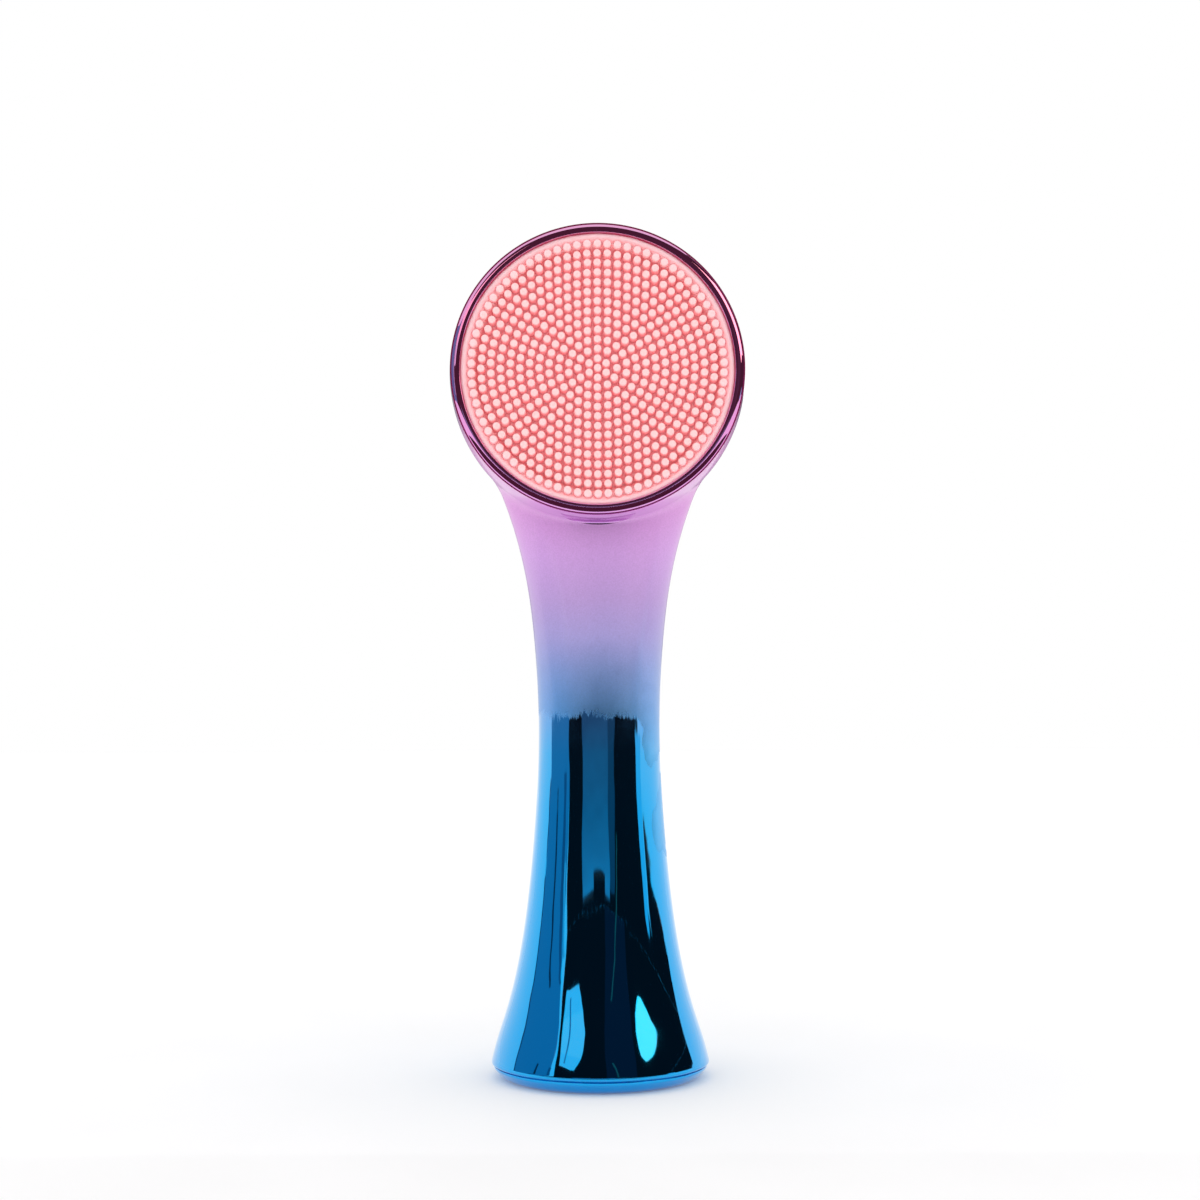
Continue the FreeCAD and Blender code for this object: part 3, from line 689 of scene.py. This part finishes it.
def shared_group(name, inputs, outputs):
    """A new node group with float or colour sockets; returns it with its Finish, inputs and output node."""
    tree = bpy.data.node_groups.new(name, "ShaderNodeTree")
    kinds = {"Color": "NodeSocketColor"}
    for label, value in inputs.items():
        socket = tree.interface.new_socket(label, in_out="INPUT", socket_type="NodeSocketFloat")
        socket.default_value = value
    for label in outputs:
        tree.interface.new_socket(label, in_out="OUTPUT", socket_type=kinds.get(label, "NodeSocketFloat"))
    finish = Finish(tree)
    return tree, finish, tree.nodes.new("NodeGroupInput").outputs, tree.nodes.new("NodeGroupOutput")


def new_material(name, **settings):
    """A Principled material; returns it, its Finish and its shader."""
    material = bpy.data.materials.new(name)
    material.use_nodes = True
    shader = material.node_tree.nodes["Principled BSDF"]
    finish = Finish(material.node_tree)
    for label, value in settings.items():
        finish.feed(shader, label.replace("_", " "), value)
    return material, finish, shader


def dress(piece, material):
    """Gives a piece one material in every slot."""
    slots = piece.data.materials
    for number in range(len(slots)):
        slots[number] = material
    if not len(slots):
        slots.append(material)
    return piece


# ------------------------------------------------ shared effects


def make_plating_tint():
    """The plating's colour by height up the brush: azure foot, periwinkle waist, lavender neck, pink head."""
    tree, finish, inputs, out = shared_group("plating_tint", {"Drift": 0.002}, ["Color"])
    place = finish.position()
    height = finish.axes(place)[2]
    sway = finish.math("SUBTRACT", finish.noise(place, 45.0), 0.5)
    swayed = finish.math("MULTIPLY_ADD", sway, inputs["Drift"], height)
    top = 0.160
    stops = [
        (0.000, colour(12, 168, 238)),
        (0.048, colour(26, 176, 243)),
        (0.058, colour(60, 176, 240)),
        (0.066, colour(112, 168, 231)),
        (0.073, colour(138, 161, 222)),
        (0.079, colour(169, 159, 220)),
        (0.086, colour(191, 157, 219)),
        (0.094, colour(214, 163, 230)),
        (0.102, colour(224, 160, 226)),
        (0.112, colour(230, 155, 220)),
        (0.126, colour(226, 148, 208)),
        (0.153, colour(224, 160, 204)),
    ]
    tinted = finish.ramp(finish.span(swayed, 0.0, top), [(place / top, tone) for place, tone in stops])
    finish.feed(out, "Color", tinted)
    return tree


def make_fine_grain():
    """Fine even speckle in a moulded, plated or painted surface: a value about one and a height."""
    settings = {"Scale": 4000.0, "Amount": 0.05}
    tree, finish, inputs, out = shared_group("fine_grain", settings, ["Value", "Height"])
    place = finish.position()
    grain = finish.noise(place, inputs["Scale"], 3.0, 0.6)
    centred = finish.math("SUBTRACT", grain, 0.5)
    finish.feed(out, "Value", finish.math("MULTIPLY_ADD", centred, inputs["Amount"], 1.0))
    finish.feed(out, "Height", grain)
    return tree


def make_handling():
    """Faint smudges and rubbed patches from handling: a mask from 0 to 1."""
    tree, finish, inputs, out = shared_group("handling", {"Scale": 60.0, "Cover": 0.5}, ["Mask"])
    place = finish.position()
    broad = finish.noise(place, inputs["Scale"], 4.0, 0.6)
    low = finish.math("SUBTRACT", 1.0, inputs["Cover"])
    finish.feed(out, "Mask", finish.span(broad, low, finish.math("ADD", low, 0.25)))
    return tree


def make_waviness():
    """Slow ripples of a moulded surface, drawn out along the height: a height."""
    tree, finish, inputs, out = shared_group("waviness", {"Across": 160.0, "Along": 60.0}, ["Height"])
    across, along, up = finish.axes(finish.position())
    stretched = finish.add("ShaderNodeCombineXYZ")
    for name, part, scale in (("X", across, "Across"), ("Y", along, "Across"), ("Z", up, "Along")):
        finish.feed(stretched, name, finish.math("MULTIPLY", part, inputs[scale]))
    finish.feed(out, "Height", finish.noise(stretched.outputs["Vector"], 1.0, 2.0, 0.45))
    return tree


def make_satin_mist():
    """Where the satin mist lies, from 0 to 1, and how metallic the surface stays under it.

    The mist's lower edge wanders with broad noise, breaks up into fine upright streaks and runs down the
    right side; bare metal shows through near that edge. The mist stops at the lip and fades out up the
    drum's sides, and leaves a lens-shaped patch bare where the middle of the neck meets the drum.
    """
    settings = {"Edge": 0.0645, "Streaks": 0.0034}
    tree, finish, inputs, out = shared_group("satin_mist", settings, ["Mist", "Metal"])
    place = finish.position()
    across, along, up = finish.axes(place)
    streaks = finish.group(WAVINESS, Across=2400.0, Along=420.0)["Height"]
    broad = finish.noise(place, 130.0, 2.0)
    ragged = finish.math("MULTIPLY_ADD", finish.math("SUBTRACT", streaks, 0.5), inputs["Streaks"], up)
    ragged = finish.math("MULTIPLY_ADD", finish.math("SUBTRACT", broad, 0.5), 0.005, ragged)
    to_the_side = finish.span(across, 6.0 * MM, 10.6 * MM)
    side = finish.math("MULTIPLY", to_the_side, finish.span(broad, 0.3, 0.62, 0.35, 1.0))
    drop = finish.math("MULTIPLY", finish.math("POWER", side, 2.0), 0.034)
    risen = finish.math("SUBTRACT", finish.math("ADD", ragged, drop), inputs["Edge"])
    above = finish.span(risen, -0.0004, 0.0010)
    height_in_head = finish.math("SUBTRACT", up, HEAD_Z)
    squares = [finish.math("MULTIPLY", part, part) for part in (across, height_in_head)]
    from_head = finish.math("SQRT", finish.math("ADD", *squares))
    behind_lip = finish.span(along, LIP_Y + 0.7 * MM, LIP_Y + 0.9 * MM)
    from_middle = finish.math("POWER", finish.math("MULTIPLY", across, 120.0), 2.0)
    narrowing = finish.math("MULTIPLY", from_middle, 1.2 * MM)
    lens = finish.span(finish.math("ADD", from_head, narrowing), 27.2 * MM, 27.4 * MM, 1.0, 0.0)
    bare = finish.math("MULTIPLY", lens, finish.span(along, LIP_Y + 2.9 * MM, LIP_Y + 3.3 * MM))
    high = finish.span(up, 112 * MM, 124 * MM, 1.0, 0.0)
    on_head = finish.math("MULTIPLY", behind_lip, finish.math("SUBTRACT", high, bare))
    mist = finish.math("MULTIPLY", above, finish.math("MAXIMUM", on_head, 0.0))
    veil = finish.span(risen, 0.0, 0.015, 0.86, 0.05)
    finish.feed(out, "Mist", mist)
    lost = finish.math("MULTIPLY", mist, finish.math("SUBTRACT", 1.0, veil))
    finish.feed(out, "Metal", finish.math("SUBTRACT", 1.0, lost))
    return tree


WAVINESS = make_waviness()
SATIN_MIST = make_satin_mist()
PLATING_TINT = make_plating_tint()
FINE_GRAIN = make_fine_grain()
HANDLING = make_handling()


# ------------------------------------------------ materials


def plated(name, misted=True):
    """Tinted mirror plating under a thin clear coat; a misted satin lacquer veils it on the neck.

    The mist starts with a ragged, streaky edge above the waist and stops at the head's lip, on which a faint
    burgundy glow is painted, a painted reflection of the silicone beside it.
    """
    material, finish, shader = new_material(name, Coat_Weight=0.45)
    shader.inputs["Coat Roughness"].default_value = 0.03
    tint = finish.group(PLATING_TINT)["Color"]
    speckle = finish.group(FINE_GRAIN, Scale=2600.0, Amount=0.05)
    smudge = finish.group(HANDLING, Scale=55.0, Cover=0.5)["Mask"]
    waves = finish.group(WAVINESS, Across=160.0, Along=60.0)["Height"]
    mirror_rough = finish.span(smudge, 0.0, 1.0, 0.03, 0.07)
    if not misted:
        finish.feed(shader, "Base Color", finish.mix(1.0, tint, speckle["Value"], "MULTIPLY"))
        shader.inputs["Metallic"].default_value = 1.0
        finish.feed(shader, "Roughness", mirror_rough)
        finish.feed(shader, "Normal", finish.bump(waves, 0.00018, 0.5))
        return material
    mist = finish.group(SATIN_MIST)
    grain = finish.group(FINE_GRAIN, Scale=3400.0, Amount=0.34)
    grained = finish.mix(mist["Mist"], speckle["Value"], grain["Value"])
    finish.feed(shader, "Base Color", finish.mix(1.0, tint, grained, "MULTIPLY"))
    finish.feed(shader, "Metallic", mist["Metal"])
    satin_rough = finish.span(grain["Height"], 0.3, 0.7, 0.36, 0.46)
    rough = finish.math("ADD", mirror_rough, finish.math(
        "MULTIPLY", mist["Mist"], finish.math("SUBTRACT", satin_rough, mirror_rough)))
    finish.feed(shader, "Roughness", rough)
    across, along, up = finish.axes(finish.position())
    # Painted reflection: the front of the lip glows a faint burgundy, as if it reflected the silicone pad
    # beside it.
    lip = finish.math("MULTIPLY", finish.span(along, LIP_Y + 2.2 * MM, LIP_Y + 1.0 * MM), finish.span(
        up, 90 * MM, 95 * MM))
    finish.feed(shader, "Emission Color", finish.mix(lip, (0.0, 0.0, 0.0, 1.0), (0.050, 0.006, 0.020, 1.0)))
    shader.inputs["Emission Strength"].default_value = 1.0
    finish.feed(shader, "Normal", finish.bump(waves, 0.00018, 0.5))
    return material


def silicone(name):
    """Translucent pink silicone, with painted shade deep in the floor, painted light on the tips and open
    border, and a faint painted glow.
    """
    material, finish, shader = new_material(name, Roughness=0.42)
    place = finish.position()
    across, along, up = finish.axes(place)
    rise = finish.span(along, PAD_FLOOR_Y, PAD_FLOOR_Y - NUB_HEIGHT)
    # Painted shade: the colour deepens to coral down the stems to the floor between the nubs, and pales up to
    # the tips.
    stem = finish.ramp(rise, [
        (0.0, colour(254, 186, 191)),
        (0.5, colour(254, 194, 197)),
        (0.85, colour(255, 204, 205)),
        (1.0, colour(255, 212, 212)),
    ])
    from_axis = finish.math("POWER", finish.math("ADD", finish.math("POWER", across, 2.0), finish.math(
        "POWER", finish.math("SUBTRACT", up, HEAD_Z), 2.0)), 0.5)
    # Painted light: the open border, which no nubs shade, is painted paler.
    edge = finish.span(from_axis, PAD_RADIUS - 2.6 * MM, PAD_RADIUS - 0.9 * MM)
    painted_shade_and_light = finish.mix(edge, stem, colour(255, 216, 220))
    speckle = finish.group(FINE_GRAIN, Scale=2200.0, Amount=0.05)
    finish.feed(shader, "Base Color", finish.mix(1.0, painted_shade_and_light, speckle["Value"], "MULTIPLY"))
    finish.feed(shader, "Roughness", finish.span(speckle["Height"], 0.3, 0.7, 0.42, 0.55))
    # Painted glow: the whole pad gives off a faint light, in a duller pink low in the floor between the nubs,
    # standing in for light scattered through the silicone.
    depth = finish.math("SUBTRACT", 1.0, finish.span(rise, 0.0, 0.95))
    inside = finish.math("MULTIPLY", depth, finish.math("SUBTRACT", 1.0, edge))
    finish.feed(shader, "Emission Color", finish.mix(inside, colour(255, 128, 130), colour(216, 142, 147)))
    shader.inputs["Emission Strength"].default_value = 0.15
    shader.inputs["Subsurface Weight"].default_value = 0.45
    shader.inputs["Subsurface Radius"].default_value = (1.0, 0.6, 0.58)
    shader.inputs["Subsurface Scale"].default_value = 0.0022
    finish.feed(shader, "Normal", finish.bump(speckle["Height"], 0.00003, 0.3))
    return material


def moulded(name, tone, rough=0.45, scale=1800.0):
    """Plain moulded plastic with a fine texture and slightly uneven gloss."""
    material, finish, shader = new_material(name)
    speckle = finish.group(FINE_GRAIN, Scale=scale, Amount=0.06)
    smudge = finish.group(HANDLING, Scale=70.0, Cover=0.45)["Mask"]
    finish.feed(shader, "Base Color", finish.mix(1.0, tone, speckle["Value"], "MULTIPLY"))
    finish.feed(shader, "Roughness", finish.span(smudge, 0.0, 1.0, rough, rough - 0.1))
    finish.feed(shader, "Normal", finish.bump(speckle["Height"], 0.00004, 0.4))
    return material


def machined(name, tone, rough=0.3, streak=(500.0, 500.0, 12000.0)):
    """Turned or drawn metal: fine lines in one direction and uneven gloss."""
    material, finish, shader = new_material(name, Metallic=1.0)
    mapping = finish.add("ShaderNodeMapping")
    finish.feed(mapping, "Vector", finish.position())
    finish.feed(mapping, "Scale", streak)
    lines = finish.noise(mapping.outputs["Vector"], 1.0, 2.0)
    finish.feed(shader, "Base Color", finish.ramp(lines, [
        (0.3, tuple(0.82 * value for value in tone[:3]) + (1.0,)),
        (0.7, tone),
    ]))
    finish.feed(shader, "Roughness", finish.span(lines, 0.2, 0.8, rough - 0.06, rough + 0.1))
    finish.feed(shader, "Normal", finish.bump(lines, 0.00002, 0.3))
    return material


def fibre(name):
    """Fine soft filaments: near white, darker and pinker towards the roots, a little sheen, light passing
    through and a painted glow against their own shade.
    """
    material, finish, shader = new_material(name, Roughness=0.45)
    tone = finish.add("ShaderNodeAttribute", attribute_name="fibre_tone")
    along = finish.axes(finish.position())[1]
    depth = finish.span(along, BLOCK_TOP_Y, BLOCK_TOP_Y + 15 * MM)
    # Darker and pinker towards the roots, near white at the tips.
    darker_at_roots = finish.ramp(depth, [
        (0.0, colour(236, 214, 222)),
        (0.5, colour(252, 240, 243)),
        (1.0, colour(255, 252, 252)),
    ])
    shade = finish.span(tone.outputs["Fac"], 0.0, 1.0, 0.92, 1.0)
    shaded = finish.mix(1.0, darker_at_roots, shade, "MULTIPLY")
    finish.feed(shader, "Base Color", shaded)
    # Painted glow: the filaments give off light in their own colour, in place of the light that their
    # self-shadowing takes away.
    finish.feed(shader, "Emission Color", shaded)
    shader.inputs["Emission Strength"].default_value = 0.26
    shader.inputs["Subsurface Weight"].default_value = 0.3
    shader.inputs["Subsurface Radius"].default_value = (0.6, 0.5, 0.5)
    shader.inputs["Subsurface Scale"].default_value = 0.0006
    shader.inputs["Sheen Weight"].default_value = 0.15
    return material


def clear_plastic(name):
    """Clear polished plastic with faint haze and fine rubbing."""
    material, finish, shader = new_material(name, Base_Color=colour(250, 252, 253), Transmission_Weight=1.0)
    shader.inputs["IOR"].default_value = 1.49
    haze = finish.group(HANDLING, Scale=80.0, Cover=0.4)["Mask"]
    finish.feed(shader, "Roughness", finish.span(haze, 0.0, 1.0, 0.02, 0.07))
    return material


# ------------------------------------------------ dressing the brush


def dress_brush():
    """Makes the finished pieces, gives every piece and every shown CAD node its material."""
    shell_plating = plated("gradient_plating")
    finished = [
        (body_shell(), "body_shell", "plated_shell", shell_plating),
        (base_cap(), "base_cap", "plated_cap", plated("foot_plating", misted=False)),
        (brush_ring(), "brush_ring", "plated_ring", plated("ring_plating", misted=False)),
        (silicone_pad(), "silicone_pad", "silicone", silicone("pink_silicone")),
        (fibre_tufts(), "fibre_bristles", "fibres", fibre("soft_filament")),
    ]
    for piece, node, slot, material in finished:
        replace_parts(dress(piece, material), node)
        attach(piece, "body")
    steel = machined("plated_screw_steel", colour(196, 198, 202))
    kept = {
        "dust_cover": clear_plastic("clear_styrene"),
        "brush_block": moulded("tuft_block_plastic", colour(238, 234, 232), 0.35),
        "pad_carrier": moulded("carrier_plastic", colour(222, 222, 218), 0.5),
        "counterweight": machined("turned_steel", colour(168, 170, 174), 0.35),
        "weight_screws": steel,
        "carrier_screws": steel,
        "tuft_anchors": machined("anchor_wire", colour(214, 176, 104), 0.3),
    }
    for node, material in kept.items():
        dress(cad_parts[node], material)


# ------------------------------------------------ studio


def floor():
    """The pale table top."""
    half = 6.0
    corners = [(-half, -half, 0), (half, -half, 0), (half, half, 0), (-half, half, 0)]
    table = mesh_object("table_top", corners, [[0, 1, 2, 3]])
    material, finish, shader = new_material("pale_table", Roughness=0.85)
    mottle = finish.noise(finish.position(), 30.0, 3.0)
    tones = [(0.3, colour(245, 245, 245)), (0.7, colour(248, 248, 248))]
    finish.feed(shader, "Base Color", finish.ramp(mottle, tones))
    finish.feed(shader, "Emission Color", colour(255, 255, 255))
    finish.feed(shader, "Emission Strength", 0.12)
    dress(table, material)


def card(name, low, high, tilt, tone, reach=1.5, foot_tone=None):
    """A curved card round the brush, seen only in its reflections.

    It spans the angles low at its bottom edge and high at its top edge (0 towards the front, positive to the
    right) and the angles tilt above the horizon, in degrees, on a sphere of that reach. Between the edges the
    angles change evenly, and direction = (sin a cos e, -cos a cos e, sin e). A foot tone makes the card blend
    from that tone at its bottom edge up to its own.
    """
    rows, columns = 13, 25
    share, rise = np.linspace(0, 1, columns), np.linspace(0, 1, rows)[:, None]
    left, right = low[0] + (high[0] - low[0]) * rise, low[1] + (high[1] - low[1]) * rise
    around = np.radians(left + (right - left) * share)
    above = np.radians(tilt[0] + (tilt[1] - tilt[0]) * rise)
    level, up = np.cos(above), np.sin(above)
    directions = np.stack((np.sin(around) * level, -np.cos(around) * level, up + 0 * around), axis=-1)
    points = directions * reach + (0, 0, 0.06)
    row, column = np.meshgrid(np.arange(rows - 1), np.arange(columns - 1), indexing="ij")
    first = (row * columns + column)[..., None]
    faces = (first + (0, columns, columns + 1, 1)).reshape(-1, 4).tolist()
    panel = mesh_object(name, points.reshape(-1, 3), faces)
    dress(panel, glow_material(f"{name}_glow", tone, foot_tone, points[(0, -1), 0, 2].tolist()))
    only_in_reflections(panel)


def apron():
    """A dark sheet that lies on the table in front of the brush, seen only in reflections."""
    corners = [(-0.4, -3.0), (0.4, -3.0), (0.4, -0.06), (-0.4, -0.06)]
    sheet = mesh_object("dark_apron", [(across, away, 0.6 * MM) for across, away in corners], [[0, 1, 2, 3]])
    dress(sheet, glow_material("apron_glow", (0.012, 0.006, 0.010)))
    only_in_reflections(sheet)


def glow_material(name, tone, foot_tone=None, span=None):
    """A material that only glows. A foot tone makes it blend up from that tone over the span of heights."""
    glow = bpy.data.materials.new(name)
    glow.use_nodes = True
    tree = glow.node_tree
    tree.nodes.clear()
    emission, out = tree.nodes.new("ShaderNodeEmission"), tree.nodes.new("ShaderNodeOutputMaterial")
    emission.inputs["Color"].default_value = (*tone, 1.0)
    if foot_tone:
        finish = Finish(tree)
        height = finish.axes(finish.position())[2]
        blend = finish.mix(finish.span(height, *span), (*foot_tone, 1.0), (*tone, 1.0))
        finish.feed(emission, "Color", blend)
    tree.links.new(emission.outputs[0], out.inputs["Surface"])
    return glow


def only_in_reflections(panel):
    """Makes a stage object that shows in mirrors alone."""
    panel.visible_camera = panel.visible_diffuse = panel.visible_shadow = panel.visible_transmission = False


def studio():
    """White surroundings with a dark room in front, in which a few windows and pale panels show."""
    world = bpy.data.worlds.new("white_room")
    bpy.context.scene.world = world
    world.use_nodes = True
    world.node_tree.nodes["Background"].inputs["Color"].default_value = (1.0, 1.0, 1.0, 1.0)
    world.node_tree.nodes["Background"].inputs["Strength"].default_value = 1.0
    floor()
    apron()
    black, navy, shade = (0.010, 0.010, 0.012), (0.016, 0.020, 0.032), (0.05, 0.09, 0.12)
    card("room_low", (-60, 76), (-50, 86), (0.6, 8.0), black, 1.60)
    card("room_high", (-50, 112), (-50, 106), (8.0, 60.0), black, 1.60)
    card("room_right", (84, 114), (82, 112), (2.4, 8.0), black, 1.61)
    card("navy_wall", (8, 38), (4, 40), (8.0, 27.0), navy, 1.55)
    card("left_wall", (-101, -57), (-101, -50), (0.6, 30.0), (0.10, 0.30, 0.42), 1.62)
    card("left_corner", (-103, -101), (-101, -99.5), (1.5, 15.0), (0.05, 0.10, 0.16), 1.58)
    card("left_post", (-82, -79), (-71.5, -69.5), (2.5, 11.5), (0.02, 0.05, 0.08), 1.57)
    card("left_frame", (-68, -63), (-56, -53.5), (2.2, 13.0), (0.05, 0.14, 0.22), 1.57)
    card("left_gleam", (-61, -58.5), (-54, -51.5), (4.0, 10.0), (0.4, 0.62, 0.7), 1.56)
    card("window_low", (-45, -28), (-46, -22), (14.6, 20.0), (1.0, 1.02, 1.0), 1.50)
    card("window_high", (-46, -22), (-50, -12), (20.0, 34.0), (1.6, 1.1, 1.02), 1.50)
    card("window_bar", (-40, -38.5), (-36, -34), (16.0, 34.0), (0.1, 0.3, 0.4), 1.45)
    card("right_window_tip", (51, 54), (46, 70), (15.2, 18.4), (2.8, 2.0, 1.5), 1.50)
    card("right_window", (46, 84), (38, 80), (18.4, 46.0), (2.8, 2.0, 1.5), 1.50)
    card("table_strip", (-33, 16), (-27, 16), (1.0, 7.1), (0.22, 0.40, 0.48), 1.50, (0.05, 0.08, 0.12))
    card("table_shade", (16, 30), (16, 24), (1.0, 6.7), shade, 1.50)
    card("table_notch", (-10, 8), (-10, 8), (6.0, 7.4), black, 1.45)
    card("right_gleam", (71, 84), (76, 79), (1.2, 6.0), (0.3, 0.8, 0.9), 1.50)
    card("back_door", (160, 186), (162, 184), (2.0, 30.0), (0.10, 0.11, 0.13), 1.60)
    card("back_shelf", (186, 206), (184, 204), (2.0, 16.0), (0.30, 0.32, 0.36), 1.60)
    card("back_lamp", (166, 178), (167, 177), (12.0, 24.0), (1.3, 1.3, 1.3), 1.55)
    card("thin_cable", (28.5, 30), (13, 14.5), (4.5, 18.0), (0.12, 0.14, 0.10), 1.45)


def camera():
    """The camera in front of the brush, at the height of the grip and tipped up a little."""
    lens = bpy.data.cameras.new("front_camera")
    lens.sensor_width = 36.0
    lens.lens = 53.4
    eye = bpy.data.objects.new("front_camera", lens)
    eye.location = (0.16 * MM, -328 * MM, 61.7 * MM)
    eye.rotation_euler = (math.radians(90 + 4.3), math.radians(0.235), 0)
    bpy.context.scene.collection.objects.link(eye)
    bpy.context.scene.camera = eye
    bpy.context.scene.view_settings.view_transform = "Standard"


dress_brush()
studio()
camera()
